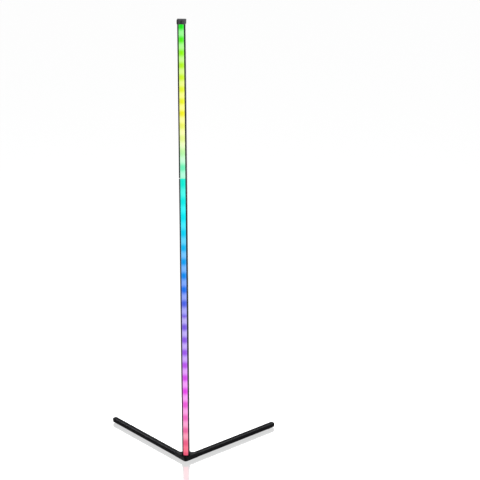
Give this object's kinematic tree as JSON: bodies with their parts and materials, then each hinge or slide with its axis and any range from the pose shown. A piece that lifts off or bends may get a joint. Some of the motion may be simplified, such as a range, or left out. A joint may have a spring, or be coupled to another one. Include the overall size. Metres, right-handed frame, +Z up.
{
  "type": "corner floor lamp",
  "caption": "Slim light pole with a milky front cover, standing on the corner of two floor legs that open at a right angle.",
  "frame": {"origin": "on the floor under the pole's axis, in the underside of the hub's round pad", "axes": "+Z up along the pole; +Y along the line that halves the angle between the legs, away from the light side; +X to the right as seen from the light side"},
  "size_m": [0.5366, 0.2756, 1.42],
  "materials": {
    "hub_plastic": "satin",
    "cap_plastic": "satin",
    "leg_steel": "satin",
    "plate_steel": "matte",
    "pole_aluminium": "satin",
    "bracket_casting": "matte",
    "upper_cover": "satin",
    "middle_cover": "satin",
    "lower_cover": "satin",
    "lamp_package": "gloss",
    "circuit_board": "satin",
    "control_circuit": "satin",
    "white_nylon": "satin",
    "connector_plastic": "satin",
    "component_plastic": "matte",
    "button_plastic": "satin",
    "black_screws": "satin",
    "contact_metal": "polished",
    "pad_rubber": "matte",
    "foam_tape": "matte",
    "lead_insulation": "satin"
  },
  "bodies": {
    "lamp": {"hub_shell": "hub_plastic", "corner_bracket": "bracket_casting", "base_plate": "plate_steel", "base_plate_screws": "black_screws", "hub_foot_pad": "pad_rubber", "left_foot_pad": "pad_rubber", "right_foot_pad": "pad_rubber", "left_leg": "leg_steel", "right_leg": "leg_steel", "left_end_cap": "hub_plastic", "right_end_cap": "hub_plastic", "leg_screws": "black_screws", "lower_pole": "pole_aluminium", "middle_pole": "pole_aluminium", "upper_pole": "pole_aluminium", "pole_foot_screws": "black_screws", "lower_joiner": "white_nylon", "upper_joiner": "white_nylon", "joiner_screws": "black_screws", "seam_key": "white_nylon", "top_cap": "cap_plastic", "cap_screws": "black_screws", "lower_diffuser": "lower_cover", "middle_diffuser": "middle_cover", "upper_diffuser": "upper_cover", "lower_light_board": "circuit_board", "middle_light_board": "circuit_board", "upper_light_board": "circuit_board", "lower_lamps": "lamp_package", "middle_lamps": "lamp_package", "upper_lamps": "lamp_package", "lower_board_link": "connector_plastic", "upper_board_link": "connector_plastic", "control_board": "control_circuit", "board_pad": "foam_tape", "control_chip": "component_plastic", "feed_header": "component_plastic", "feed_pins": "contact_metal", "lead_socket": "connector_plastic", "tact_switch": "component_plastic", "dc_jack": "component_plastic", "dc_jack_pin": "contact_metal", "power_lead": "lead_insulation"},
    "button": {"mode_button": "button_plastic", "switch_plunger": "component_plastic"}
  },
  "joints": [
    {"name": "mode_button_press", "type": "slide", "parent": "lamp", "child": "button", "axis": [0, -1, 0], "range_m": [0, 0.0006], "stiffness_N_per_m": 800}
  ]
}
